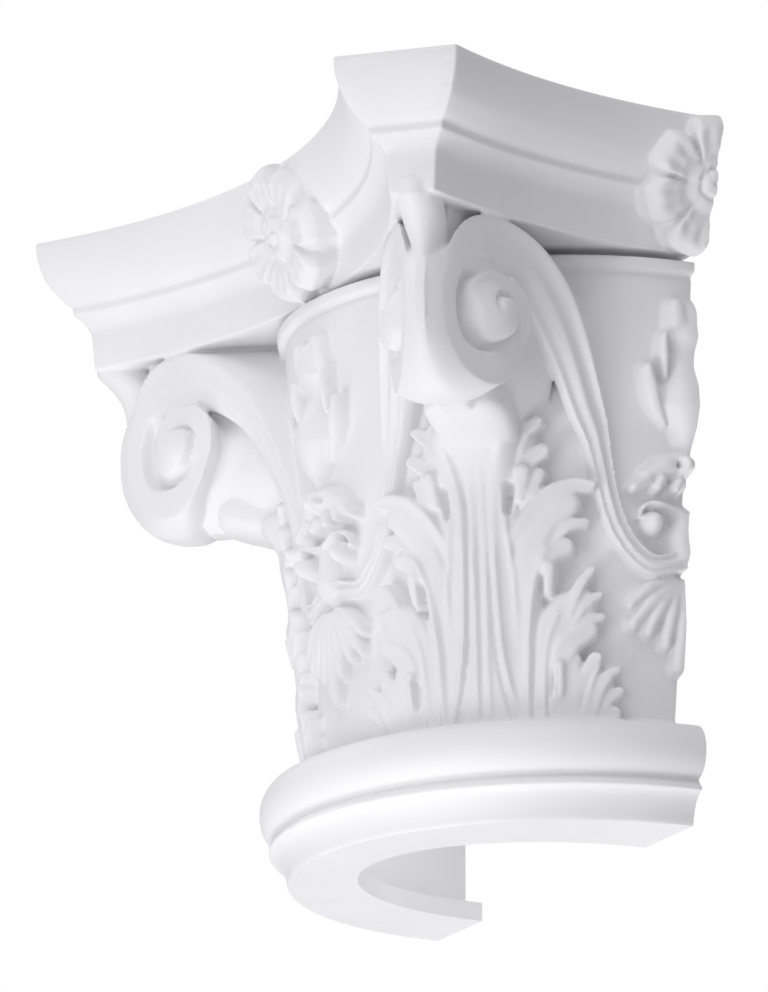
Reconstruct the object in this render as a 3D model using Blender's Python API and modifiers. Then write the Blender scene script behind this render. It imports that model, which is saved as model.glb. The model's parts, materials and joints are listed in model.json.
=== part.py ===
"""Half column capital of the corinthian order, modelled in Blender.

The capital is one cast piece: a ring (astragal) at the foot, a bell carved with acanthus
leaves, scrolls under the horns of a concave abacus, and a flower on each side of it. It is
cut flat at the back, open at the back and at the foot, and hollow inside.

Run it from Blender's text editor, or with: blender --background --python part.py
Units are metres, +Z is up, the front looks towards -Y. The origin is under the middle of
the capital's box, on the plane that the ring stands on.

Sizes below are in modules: one module is the outer radius of the ring's underside. The
turned parts share an axis that lies in the back plane.
"""

import math

import bmesh
import bpy
import numpy as np
from mathutils import Matrix, Vector

MODULE = 0.110  # radius of the ring's underside, in metres

# Heights
LIP_TOP = 0.067  # top of the narrow lip round the foot opening
RING_TOP = 0.398  # where the bell leaves the ring
SOFFIT = 2.05  # underside of the abacus
TOP = 2.508

# The ring and the bell are a little flatter in front than a half circle
ROUND_DEPTH = 0.965

# Abacus, seen from above
SIDE_DISTANCE = 1.201  # from the abacus centre to the middle of a side
SIDE_RADIUS = 2.305  # of the hollow curve of each side
CORNER_SUM = 2.831  # x + y on the blunt end of a horn
ABACUS_BACK = 0.067  # the abacus centre lies this far behind the back plane
HORN_REACH = 1.507  # from the back plane to the foremost corner of a horn

# Hollow
FOOT_OPENING = (0.64, 0.745)  # half width and depth of the opening under the foot
HOLLOW = ((0.775, 0.0), (0.775, 0.42), (0.80, 0.90), (0.84, 1.50), (0.87, 2.0), (0.87, 2.34))

# Scroll under each horn
SCROLL_DISTANCE = 1.36  # of the scroll's centre from the axis, along the diagonal
SCROLL_HEIGHT = 1.74
SCROLL_RADIUS = 0.335
SCROLL_HALF_WIDTH = 0.127
SCROLL_TAPER = 0.208  # half width lost for each module outwards

# Flower in the middle of each side of the abacus
FLOWER_RADIUS = 0.225
FLOWER_HEIGHT = 2.235
FLOWER_LEAN = 18  # degrees that its face looks down
PETALS = 5

# The bell is first cut this far behind the back plane, and flush with it at the end
SPARE_BEHIND = 0.04
BEHIND = 3  # depth of the cutters that clear away what lies behind

# Grid steps of the carved bell before it is thinned, and the share of triangles kept
STEPS_AROUND = 176
STEPS_UP = 92
CARVING_KEPT = 0.115

DEGREE = math.radians(1) * 0.97  # width of one degree on the bell, in modules
WHITE = (0.86, 0.86, 0.87, 1.0)


def at(x, y, z):
    """A point given in modules from the axis, in metres from the origin."""
    return Vector((x, y + HORN_REACH / 2, z)) * MODULE


# ---------------------------------------------------------------- collections and objects


def clear_scene():
    for obj in list(bpy.data.objects):
        bpy.data.objects.remove(obj)


def collection(name, hidden=False):
    made = bpy.data.collections.new(name)
    bpy.context.scene.collection.children.link(made)
    made.hide_render = hidden
    return made


def new_object(name, mesh, home, helper=False):
    obj = bpy.data.objects.new(name, mesh)
    home.objects.link(obj)
    if helper:
        obj.hide_render = True
        obj.display_type = "WIRE"
    return obj


def applied(obj):
    """The object's mesh with its modifiers applied."""
    bpy.context.view_layer.update()
    graph = bpy.context.evaluated_depsgraph_get()
    mesh = bpy.data.meshes.new_from_object(obj.evaluated_get(graph))
    obj.modifiers.clear()
    obj.data = mesh
    return mesh


def join(target, others, operation="UNION"):
    for other in others:
        modifier = target.modifiers.new("join " + other.name, "BOOLEAN")
        modifier.operation = operation
        modifier.object = other


def close_mesh(bm, name):
    """Merge doubles, turn the faces outwards and keep the result as a mesh."""
    bmesh.ops.remove_doubles(bm, verts=bm.verts, dist=0.00001)
    bmesh.ops.recalc_face_normals(bm, faces=bm.faces)
    mesh = bpy.data.meshes.new(name)
    bm.to_mesh(mesh)
    bm.free()
    return mesh


def loft(sections, name):
    """A closed mesh through rings of equally many points."""
    bm = bmesh.new()
    rings = [[bm.verts.new(point) for point in section] for section in sections]
    for low, high in zip(rings, rings[1:]):
        for i, corner in enumerate(low):
            j = (i + 1) % len(low)
            bm.faces.new((corner, low[j], high[j], high[i]))
    bm.faces.new(reversed(rings[0]))
    bm.faces.new(rings[-1])
    return close_mesh(bm, name)


# ---------------------------------------------------------------- carving on the bell


def bell_radius(height):
    """Plain surface of the bell, a cylinder that opens a little towards the rim."""
    heights = (RING_TOP, 0.90, 1.35, 1.70, 1.95, 2.00, 2.03)
    radii = (0.871, 0.915, 0.955, 0.99, 1.02, 1.065, 1.065)
    return np.interp(height, heights, radii)


def route(points, count=14):
    """A smooth line through points given as (degrees, height), in modules."""
    flat = [Vector((angle * DEGREE, height)) for angle, height in points]
    flat = [flat[0] * 2 - flat[1]] + flat + [flat[-1] * 2 - flat[-2]]
    line = []
    for a, b, c, d in zip(flat, flat[1:], flat[2:], flat[3:]):
        for step in range(count):
            t = step / count
            line.append(0.5 * (2 * b + (c - a) * t + (2 * a - 5 * b + 4 * c - d) * t**2
                               + (3 * b - a - 3 * c + d) * t**3))
    line.append(flat[-2])
    return np.array([tuple(point) for point in line])


def along(x, y, points):
    """How far each place is from a route, and its share of the way along it."""
    line = route(points)
    start, run = line[:-1], np.diff(line, axis=0)
    best = np.full(x.shape, 9.0)
    share = np.zeros(x.shape)
    for i, ((px, py), (dx, dy)) in enumerate(zip(start, run)):
        t = np.clip(((x - px) * dx + (y - py) * dy) / (dx * dx + dy * dy), 0, 1)
        distance = np.hypot(x - px - t * dx, y - py - t * dy)
        nearer = distance < best
        best[nearer] = distance[nearer]
        share[nearer] = ((i + t) / len(run))[nearer]
    return best, share


def finger(x, y, points, widths, lifts, edge=3.0):
    """A rounded leaflet along a route: half widths and lifts run from its root to its tip."""
    distance, share = along(x, y, points)
    places = np.linspace(0, 1, len(widths))
    width = np.interp(share, places, widths)
    lift = np.interp(share, np.linspace(0, 1, len(lifts)), lifts)
    return lift * (1 - np.clip(distance / width, 0, 1) ** edge)


# Leaflets of half an acanthus leaf. Angles are in degrees from the middle of the side, so
# that 45 is the leaf's midrib. Each has its route, its half widths and its lifts.
LEAFLETS = (
    # lobe bodies
    (((45, 0.40), (45, 0.9), (45, 1.40)), (0.10, 0.11, 0.14), (0.035, 0.045, 0.06)),
    (((41, 0.40), (40.5, 0.9), (38, 1.2), (34, 1.36)), (0.07, 0.08, 0.08), (0.04, 0.05, 0.06)),
    (((38, 0.40), (36, 0.85), (31, 1.08), (23, 1.17)), (0.07, 0.07, 0.07), (0.04, 0.05, 0.06)),
    (((34, 0.40), (31, 0.65), (27, 0.82), (22, 0.85)), (0.07, 0.08, 0.07), (0.04, 0.05, 0.05)),
    (((28, 0.40), (24, 0.47), (18, 0.54)), (0.07, 0.09, 0.07), (0.04, 0.05, 0.05)),
    # upper lobe
    (((39, 1.20), (36.5, 1.36), (30.5, 1.44)), (0.05, 0.045, 0.008), (0.07, 0.09, 0.09)),
    (((38, 1.18), (35, 1.29), (29, 1.33)), (0.04, 0.05, 0.02), (0.06, 0.08, 0.09)),
    (((36, 0.90), (35.2, 1.1), (34.8, 1.25)), (0.02, 0.035, 0.03), (0.05, 0.07, 0.08)),
    # second lobe
    (((35, 0.95), (31, 1.12), (25, 1.21), (19.5, 1.20)), (0.02, 0.045, 0.05, 0.02), (0.06, 0.08)),
    (((31, 0.98), (26, 1.07), (20.3, 1.10)), (0.03, 0.035, 0.008), (0.05, 0.07)),
    (((33.5, 0.65), (32, 0.88), (28, 0.99), (23.6, 0.99)), (0.02, 0.03, 0.04, 0.03), (0.06, 0.085)),
    # third lobe
    (((31, 0.45), (30.3, 0.7), (29.3, 0.88)), (0.02, 0.025, 0.03), (0.05, 0.07, 0.08)),
    (((28, 0.60), (26, 0.8), (23.9, 0.935)), (0.03, 0.02, 0.006), (0.05, 0.07)),
    (((27, 0.55), (24.5, 0.75), (20, 0.93)), (0.03, 0.03, 0.02), (0.05, 0.075)),
    (((26, 0.60), (22.5, 0.76), (17.5, 0.84)), (0.03, 0.03, 0.01), (0.05, 0.07)),
    (((28, 0.55), (24, 0.68), (18, 0.725)), (0.03, 0.035, 0.03), (0.06, 0.08)),
    # lowest lobe
    (((28.5, 0.40), (27, 0.5), (25.8, 0.61)), (0.02, 0.03, 0.02), (0.06, 0.08)),
    (((24, 0.40), (21.5, 0.55), (15.5, 0.61)), (0.03, 0.04, 0.012), (0.05, 0.08)),
    (((20, 0.40), (17.5, 0.49), (13, 0.55)), (0.03, 0.035, 0.01), (0.05, 0.075)),
    (((16, 0.38), (14.5, 0.42), (11.5, 0.45)), (0.02, 0.025, 0.015), (0.05, 0.07)),
)

# Ornament on the middle of a side: a blossom over leaves and buds, and a palmette
CENTRE_PIECES = (
    (((0, 1.34), (0, 1.5), (0, 1.66)), (0.07, 0.125, 0.08), (0.03, 0.05, 0.03)),
    (((0, 1.66), (0, 1.80), (0, 1.87)), (0.08, 0.11, 0.06), (0.02, 0.04, 0.03)),
    (((6, 1.40), (9, 1.52), (11.2, 1.64)), (0.05, 0.035, 0.01), (0.03, 0.05, 0.045)),
    (((0, 1.29), (5, 1.26), (12, 1.21)), (0.05, 0.05, 0.02), (0.055, 0.045, 0.04)),
    (((7.3, 1.08), (7.3, 1.11)), (0.045, 0.045), (0.05, 0.05)),
    (((0, 0.97), (0, 1.12)), (0.06, 0.05), (0.035, 0.03)),
    (((0, 0.86), (0, 0.70), (0, 0.58)), (0.05, 0.07, 0.03), (0.03, 0.045, 0.04)),
    (((1, 0.86), (6, 0.78), (11, 0.76)), (0.03, 0.06, 0.03), (0.03, 0.04, 0.035)),
    (((1, 0.84), (4, 0.74), (7, 0.70)), (0.03, 0.05, 0.02), (0.03, 0.045, 0.035)),
)

# Sunk lines: the midrib's edge, the eyes between the lobes and the flutes below them
SUNK_LINES = (
    (((38.6, 0.36), (40.5, 0.57), (42, 0.85), (42.8, 1.25)), (0.020, 0.014), 0.018),
    (((38.6, 1.14), (37.4, 1.22)), (0.016, 0.014), 0.060),
    (((31.9, 0.80), (31.4, 0.88)), (0.016, 0.014), 0.060),
    (((28.2, 0.51), (27.9, 0.58)), (0.016, 0.014), 0.060),
    (((33.8, 0.45), (33, 0.65), (31.8, 0.76)), (0.014, 0.014), 0.018),
    (((26.2, 0.84), (26.4, 0.93)), (0.010, 0.022), 0.060),
)


def tip_flare(x, y):
    """The leaf's tip leans out under the scroll."""
    heights = (1.02, 1.10, 1.20, 1.28, 1.34, 1.375, 1.395, 1.50, 1.60)
    reach = (0, 0.005, 0.03, 0.06, 0.11, 0.20, 0.27, 0.27, 0.0)
    off_midrib = np.abs(45 * DEGREE - x)
    share = 1 - np.clip((off_midrib - 0.07) / 0.07, 0, 1) ** 2
    return np.interp(y, heights, reach) * share


def relief(angle, height):
    """How far the carving stands out of the bell, in modules, for an angle in degrees from
    the side's middle and a height."""
    x, y = angle * DEGREE, height
    lift = np.zeros(x.shape)
    for points, widths, lifts in LEAFLETS:
        lift = np.maximum(lift, finger(x, y, points, widths, lifts))
    for points, widths, depth in SUNK_LINES:
        lift = lift - finger(x, y, points, widths, (depth, depth), 2.0)
    lift = np.maximum(lift, 0) + tip_flare(x, y)
    for points, widths, lifts in CENTRE_PIECES:
        lift = np.maximum(lift, finger(x, y, points, widths, lifts, 2.5))
    return lift * np.clip((height - RING_TOP) / 0.10, 0, 1) ** 0.6


# ---------------------------------------------------------------- ring and bell


def ring_profile():
    """Outer line of the ring: a hollow, a fillet, a groove, a round and a sloped top."""
    hollow = [(1.0 + 0.072 * (1 - math.cos(t)), 0.117 * math.sin(t))
              for t in np.linspace(0, math.pi / 2, 4)]
    round_ = [(1.030 + 0.076 * math.sin(t), 0.250 - 0.100 * math.cos(t))
              for t in np.linspace(0.25, math.pi * 0.93, 8)]
    return hollow + round_ + [(0.93, 0.374)]


def turned(name, profile, home, steps):
    """The half of a turned shape in front of the back plane and a little behind it."""
    bm = bmesh.new()
    line = [bm.verts.new((radius * MODULE, 0, height * MODULE)) for radius, height in profile]
    for low, high in zip(line, line[1:]):
        bm.edges.new((low, high))
    mesh = bpy.data.meshes.new(name)
    bm.to_mesh(mesh)
    bm.free()
    obj = new_object(name, mesh, home, helper=True)
    screw = obj.modifiers.new("turn", "SCREW")
    screw.axis = "Z"
    screw.steps = screw.render_steps = steps
    screw.use_merge_vertices = True
    screw.merge_threshold = 0.00001
    applied(obj)
    return obj


def bell_and_ring(home):
    """Outer body of the ring and the carved bell."""
    heights = np.linspace(RING_TOP, 2.03, STEPS_UP)
    profile = [(0, 2.12), (1.0, 2.12), (1.0, 2.05)]
    profile += [(float(bell_radius(height)), float(height)) for height in heights[::-1]]
    profile += ring_profile()[::-1] + [(0, 0)]
    obj = turned("bell and ring", profile, home, 2 * STEPS_AROUND)
    mesh = obj.data
    points = np.empty(len(mesh.vertices) * 3)
    mesh.vertices.foreach_get("co", points)
    points = points.reshape(-1, 3) / MODULE
    radius = np.hypot(points[:, 0], points[:, 1])
    around = np.degrees(np.arctan2(points[:, 1], points[:, 0]))
    from_side = np.abs((around + 45) % 90 - 45)
    carved = (radius > 0.5) & (points[:, 2] >= RING_TOP) & (points[:, 2] <= 2.0)
    lift = relief(from_side[carved], points[carved, 2])
    points[carved, :2] *= (1 + lift / radius[carved])[:, None]
    points[:, 1] = points[:, 1] * ROUND_DEPTH + HORN_REACH / 2
    mesh.vertices.foreach_set("co", (points * MODULE).ravel())
    return obj


def thinned(obj, home):
    """Cut the carved body at the back plane and thin its triangles where it is smooth."""
    back = box("bell cutter", (0, SPARE_BEHIND + BEHIND / 2, TOP / 2), (4, BEHIND, 3), home)
    join(obj, [back], "DIFFERENCE")
    applied(obj)
    decimate = obj.modifiers.new("thin", "DECIMATE")
    decimate.ratio = CARVING_KEPT
    decimate.use_collapse_triangulate = True
    applied(obj)
    return obj


def box(name, centre, size, home):
    """A box given by its centre from the axis and its size, in modules."""
    bm = bmesh.new()
    bmesh.ops.create_cube(bm, size=1)
    bmesh.ops.scale(bm, vec=Vector(size) * MODULE, verts=bm.verts)
    bmesh.ops.translate(bm, vec=at(*centre), verts=bm.verts)
    return new_object(name, close_mesh(bm, name), home, helper=True)


# ---------------------------------------------------------------- abacus


def abacus_outline(inset, steps):
    """The abacus seen from above, drawn in from its edge: four hollow sides and blunt horns."""
    radius = SIDE_RADIUS + inset
    corner = CORNER_SUM - inset * math.sqrt(2)
    lean = (corner - SIDE_DISTANCE - SIDE_RADIUS) / radius
    limit = math.pi / 4 + math.asin(lean / math.sqrt(2))
    points = []
    for side in range(4):
        turn = Matrix.Rotation(side * math.pi / 2, 2)
        for step in range(steps + 1):
            t = limit * (2 * step / steps - 1)
            across = SIDE_DISTANCE + SIDE_RADIUS - radius * math.cos(t)
            points.append(turn @ Vector((across, radius * math.sin(t))))
    return points


def abacus_profile():
    """(inset, height) from the soffit up: fascia, hollow, fillet, round and top fillet."""
    fascia = [(0.215, SOFFIT - 0.06), (0.197, SOFFIT + 0.01), (0.193, 2.15)]
    hollow = [(0.190 - 0.070 * math.sin(t), 2.165 + 0.095 * (1 - math.cos(t)))
              for t in np.linspace(0.2, math.pi / 2, 4)]
    fillet = [(0.105, 2.268), (0.105, 2.290)]
    round_ = [(0.105 * (1 - math.cos(t)), 2.490 - 0.200 * math.sin(t))
              for t in np.linspace(math.pi / 2, 0, 6)][1:]
    return fascia + hollow + fillet + round_ + [(0.0, TOP)]


def abacus(home, steps=12):
    sections = [[at(point.x, point.y + ABACUS_BACK, height) for point in abacus_outline(inset, steps)]
                for inset, height in abacus_profile()]
    return new_object("abacus", loft(sections, "abacus"), home, helper=True)


# ---------------------------------------------------------------- scrolls under the horns


def horn_place(side, out, across, height):
    """A point of a horn: out along its diagonal, across it, and up. Side is 1 or -1."""
    root = math.sqrt(0.5)
    x = out * root + across * root
    y = -out * root + across * root + ABACUS_BACK / 2
    return at(side * (x + ABACUS_BACK / 2), y, height)


def coil_height(distance, turn):
    """Relief of the scroll's face: a channel that winds in round a raised eye."""
    winding = (turn - math.pi / 2) % (2 * math.pi) / (2 * math.pi)
    channel = 0.19 - 0.05 * winding
    if distance > channel + 0.03:
        return 0.0
    if distance > channel - 0.03:
        return -0.03
    return 0.02 + 0.06 * math.sqrt(1 - (distance / 0.19) ** 2)


def scroll(side, home):
    """The rolled end of the bands under one horn, with a coil on each face."""
    turns, steps = 20, 7
    bm = bmesh.new()
    rings = []
    rim_across = (-1, -0.5, 0, 0.5, 1)
    rim_radius = (0.90, 0.98, 1.0, 0.98, 0.90)
    faces = [(-1, share) for share in np.linspace(0.1, 0.93, steps)]
    faces += [(1, share) for share in np.linspace(0.93, 0.1, steps)]
    stations = faces[:steps] + list(zip(rim_across, rim_radius)) + faces[steps:]
    for number, (across, share) in enumerate(stations):
        on_rim = steps <= number < steps + len(rim_across)
        ring = []
        for turn in np.linspace(0, 2 * math.pi, turns, endpoint=False):
            distance = SCROLL_RADIUS * (share if on_rim else share * 0.90)
            out = SCROLL_DISTANCE + distance * math.cos(turn)
            half = SCROLL_HALF_WIDTH - SCROLL_TAPER * (out - SCROLL_DISTANCE)
            if not on_rim:
                half += coil_height(distance, turn)
            height = SCROLL_HEIGHT + distance * math.sin(turn)
            ring.append(bm.verts.new(horn_place(side, out, across * half, height)))
        rings.append(ring)
    for low, high in zip(rings, rings[1:]):
        for i in range(turns):
            j = (i + 1) % turns
            bm.faces.new((low[i], low[j], high[j], high[i]))
    bm.faces.new(reversed(rings[0]))
    bm.faces.new(rings[-1])
    name = "scroll right" if side > 0 else "scroll left"
    return new_object(name, close_mesh(bm, name), home, helper=True)


def tongue(side, home):
    """The pointed drop between the horn and its scroll."""
    sections = []
    for height, out, width, depth in ((1.70, 1.64, 0.02, 0.03), (1.80, 1.63, 0.06, 0.055),
                                      (1.92, 1.60, 0.085, 0.085), (2.02, 1.65, 0.09, 0.10),
                                      (2.08, 1.69, 0.09, 0.12)):
        ring = []
        for turn in np.linspace(0, 2 * math.pi, 10, endpoint=False):
            ring.append(horn_place(side, out + depth * math.cos(turn), width * math.sin(turn), height))
        sections.append(ring)
    name = "tongue right" if side > 0 else "tongue left"
    return new_object(name, loft(sections, name), home, helper=True)


# Route of the band from the middle of a side to the scroll, as degrees from the side's
# middle, height, distance from the axis, and half width
BAND = (
    (-3, 0.925, 0.925, 0.042), (5, 0.925, 0.925, 0.042), (10, 0.940, 0.93, 0.043),
    (14, 0.995, 0.94, 0.046), (17, 1.09, 0.95, 0.046), (18.9, 1.22, 0.96, 0.046),
    (20.6, 1.38, 0.985, 0.055), (23, 1.54, 1.02, 0.072), (25.8, 1.69, 1.07, 0.088),
    (29, 1.82, 1.15, 0.10), (32.6, 1.90, 1.25, 0.105), (36.5, 1.95, 1.36, 0.10),
    (40, 2.00, 1.44, 0.075), (43, 2.01, 1.50, 0.05),
)


# Section of a band: (share of its half width, lift), from one edge to the other
BAND_SECTION = (
    (-1, -0.14), (-1, 0.02), (-0.75, 0.05), (-0.1, 0.03), (0.5, 0.055), (1, 0.02), (1, -0.14),
)


def band(number, middle, sense, home):
    """A scroll's stem. It starts at a side's middle and climbs to one side of it."""
    line = []
    for angle, height, distance, half in BAND:
        around = math.radians(middle + sense * angle)
        line.append((Vector((distance * math.cos(around), -distance * math.sin(around), height)), half))
    sections = []
    for i, (point, half) in enumerate(line):
        ahead = line[min(i + 1, len(line) - 1)][0] - line[max(i - 1, 0)][0]
        outward = Vector((point.x, point.y, 0)).normalized()
        across = outward.cross(ahead).normalized()
        outward = ahead.cross(across).normalized()
        ring = []
        for u, v in BAND_SECTION:
            ring.append(at(*(point + across * half * u + outward * v)))
        sections.append(ring)
    name = f"band {number}"
    return new_object(name, loft(sections, name), home, helper=True)


# ---------------------------------------------------------------- flowers on the abacus


def petal_lift(share):
    """Height of a petal above the flower's plane, from its centre (0) to its edge (1)."""
    if share < 0.35:
        return 0.05
    return -0.02 + 0.055 * math.sin(math.pi * min(1, share * 1.05)) ** 0.6


def flower(number, around, home, turns=20, rings=5):
    """A five-petalled flower that faces out from the middle of a side of the abacus."""
    reach = SIDE_DISTANCE - (ABACUS_BACK if around == 90 else 0)
    level_out = Vector((math.cos(math.radians(around)), -math.sin(math.radians(around)), 0))
    centre = level_out * reach + Vector((0, 0, FLOWER_HEIGHT))
    side = level_out.cross(Vector((0, 0, 1)))
    outward = Matrix.Rotation(math.radians(-FLOWER_LEAN), 3, side) @ level_out
    up = side.cross(outward)
    root = (0.8, -0.16)
    shares = [1 - level / rings for level in range(rings)]
    levels = [root] + [(share, petal_lift(share)) for share in shares]
    sections = []
    for share, lift in levels:
        ring = []
        for step in range(turns):
            turn = 2 * math.pi * step / turns + math.pi / 2
            notch = 1 - 0.14 * (1 - abs(math.cos(PETALS * turn / 2)))
            distance = FLOWER_RADIUS * notch * share
            spot = centre + side * distance * math.cos(turn) + up * distance * math.sin(turn)
            ring.append(at(*(spot + outward * lift)))
        sections.append(ring)
    name = f"flower {number}"
    return new_object(name, loft(sections, name), home, helper=True)


# ---------------------------------------------------------------- hollow and back


def foot_opening(home, turns=28):
    half_width, depth = FOOT_OPENING
    sections = []
    for height in (-0.05, LIP_TOP + 0.02):
        sections.append([at(half_width * math.cos(t), depth * math.sin(t), height)
                         for t in np.linspace(0, 2 * math.pi, turns, endpoint=False)])
    return new_object("foot opening", loft(sections, "foot opening"), home, helper=True)


def hollow(home, turns=28):
    sections = []
    for radius, height in HOLLOW:
        low = max(height, LIP_TOP)
        sections.append([at(radius * math.cos(t), radius * math.sin(t), low)
                         for t in np.linspace(0, 2 * math.pi, turns, endpoint=False)])
    return new_object("hollow", loft(sections, "hollow"), home, helper=True)


def plaster_white():
    material = bpy.data.materials.new("primed white")
    material.use_nodes = True
    shader = material.node_tree.nodes["Principled BSDF"]
    shader.inputs["Base Color"].default_value = WHITE
    shader.inputs["Roughness"].default_value = 0.55
    shader.inputs["Metallic"].default_value = 0.0
    return material


def main():
    clear_scene()
    parts = collection("half capital")
    helpers = collection("cutters", hidden=True)
    body = thinned(bell_and_ring(helpers), helpers)
    pieces = [abacus(helpers)]
    for side in (1, -1):
        pieces += [scroll(side, helpers), tongue(side, helpers)]
    pieces += [band(number, middle, sense, helpers)
               for number, (middle, sense) in enumerate(((0, 1), (90, -1), (90, 1), (180, -1)))]
    pieces += [flower(number, around, helpers) for number, around in enumerate((0, 90, 180))]
    join(body, pieces)
    back = box("back cutter", (0, BEHIND / 2, TOP / 2), (5, BEHIND, 4), helpers)
    join(body, [back, foot_opening(helpers), hollow(helpers)], "DIFFERENCE")
    mesh = applied(body)
    capital = new_object("half_capital", mesh, parts)
    capital.data.materials.clear()
    capital.data.materials.append(plaster_white())
    bpy.data.objects.remove(body)


main()
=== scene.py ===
"""Half column capital of the corinthian order: the finished casting, modelled in Blender.

The capital is one moulded piece. It is modelled as its maker would work it up: the ring and
the bell are turned, the leaves and the ornament are carved into the bell, and the abacus,
the scroll bands, the scrolls and the flowers are laid on. Then all of it is cast as one,
cut flat at the back, hollowed from behind and finished with white primer.

Sizes are in modules: one module is the outer radius of the ring's underside. Points are
given from the axis of the ring, which lies in the back plane: +X to the right, -Y out of
the wall, +Z up. Angles on the bell are in degrees from the middle of a side, so that 45 is
under a horn of the abacus, where each leaf has its midrib.
"""

import json
import math

import bpy
import numpy as np
from mathutils import Matrix, Vector

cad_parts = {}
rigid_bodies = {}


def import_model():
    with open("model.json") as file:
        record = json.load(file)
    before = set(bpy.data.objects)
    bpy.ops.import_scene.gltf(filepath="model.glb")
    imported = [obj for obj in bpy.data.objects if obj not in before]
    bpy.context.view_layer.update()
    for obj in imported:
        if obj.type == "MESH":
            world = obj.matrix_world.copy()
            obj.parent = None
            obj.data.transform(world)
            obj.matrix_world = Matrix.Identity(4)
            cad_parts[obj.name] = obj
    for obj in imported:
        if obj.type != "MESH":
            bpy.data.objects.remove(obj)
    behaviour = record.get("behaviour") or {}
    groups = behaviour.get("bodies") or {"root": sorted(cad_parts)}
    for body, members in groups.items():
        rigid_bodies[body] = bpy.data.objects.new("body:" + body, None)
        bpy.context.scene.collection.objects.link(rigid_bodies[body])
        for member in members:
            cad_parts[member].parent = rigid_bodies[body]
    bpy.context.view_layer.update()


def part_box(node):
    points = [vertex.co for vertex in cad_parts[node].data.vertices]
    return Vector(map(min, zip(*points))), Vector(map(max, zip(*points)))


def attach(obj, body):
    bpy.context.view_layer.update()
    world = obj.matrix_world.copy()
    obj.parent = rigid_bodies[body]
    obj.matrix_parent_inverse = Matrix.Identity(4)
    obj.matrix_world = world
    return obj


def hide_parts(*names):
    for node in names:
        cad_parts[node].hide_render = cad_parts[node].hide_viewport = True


bl_info = {
    "name": "Corinthian half capital",
    "version": (1, 0, 0),
    "blender": (4, 5, 0),
    "location": "3D View > Sidebar > Capital",
    "description": "Models a carved half capital as one hollow casting",
    "category": "Add Mesh",
}

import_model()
NODE = "half_capital"
LOW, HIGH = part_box(NODE)

HEIGHT = 2.508  # of the capital, in modules
MODULE = (HIGH.z - LOW.z) / HEIGHT
BACK = HIGH.y  # the back plane, in metres
FOOT = LOW.z

RING_TOP = 0.398  # where the bell leaves the ring
BELL_FOOT, BELL_TOP = 0.32, 2.06  # the bell runs a little into the ring and the abacus
CARVING_TOP = 1.95  # the lip under the abacus is left plain
ROUND_DEPTH = 0.965  # the ring and the bell are this much flatter than a half circle
DEGREE = math.radians(1) * 0.97  # width of one degree halfway up the bell

SIDE_DISTANCE = 1.201  # from the abacus centre to the middle of a side
SIDE_RADIUS = 2.305  # of the hollow curve of each side
CORNER_SUM = 2.831  # x + y on the blunt end of a horn
ABACUS_BACK = 0.067  # the abacus centre lies this far behind the back plane
SOFFIT = 2.05

LIP_TOP = 0.067  # top of the narrow lip round the foot opening
FOOT_OPENING = (0.64, 0.745)  # half width and depth of the opening in the foot
# The hollow inside, from the lip up to its closed top: (radius, height)
HOLLOW = ((0.775, LIP_TOP), (0.775, 0.42), (0.80, 0.90), (0.84, 1.50), (0.87, 2.0), (0.87, 2.34))

SPARE = 0.06  # ring and bell run this far on behind the back plane until the cut, in radians
CORE = 0.5  # radius inside which the body is left out, since it is hollowed anyway
INSIDE = 0.7  # radius between the core and the surface that is carved
FEWEST, MOST = 20000, 200000  # limits for the triangles of the finished casting
RING_STEPS = 300
TRIM = 0.015  # height that is trimmed off the foot and the top of the casting

# Scroll: its middle on the horn's diagonal, and the upright plane that its face is given in
SCROLL_OUT = 1.36
SCROLL_HEIGHT = 1.74
FACE_TURN = math.radians(33.03)
HALF_THICK = 0.127
COIL_CENTRE = (-0.05, -0.05)
OVERLAP = 0.01  # parts that meet run this far into each other


class CapitalSettings(bpy.types.PropertyGroup):
    """What the panel lets its user change."""

    grain: bpy.props.FloatProperty(
        name="Modelling grain", description="Size of the finest step that the casting keeps",
        default=0.0007, min=0.0004, max=0.003, unit="LENGTH",
    )
    most_triangles: bpy.props.IntProperty(
        name="Most triangles", description="Triangles of the finished casting",
        default=190000, min=FEWEST, max=MOST,
    )
    primer: bpy.props.FloatVectorProperty(
        name="Primer", description="Colour of the white primer",
        default=(0.86, 0.855, 0.865), subtype="COLOR", size=3, min=0, max=1,
    )
    roughness: bpy.props.FloatProperty(
        name="Roughness", description="Roughness of the primer", default=0.5, min=0, max=1,
        subtype="FACTOR",
    )


# ---------------------------------------------------------------- places and meshes


def at(x, y, z):
    """A point given in modules from the axis, in metres in the frame."""
    return Vector((x * MODULE, BACK + y * MODULE, FOOT + z * MODULE))


def deselect():
    bpy.ops.object.select_all(action="DESELECT")


def activate(obj):
    deselect()
    obj.select_set(True)
    bpy.context.view_layer.objects.active = obj


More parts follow.
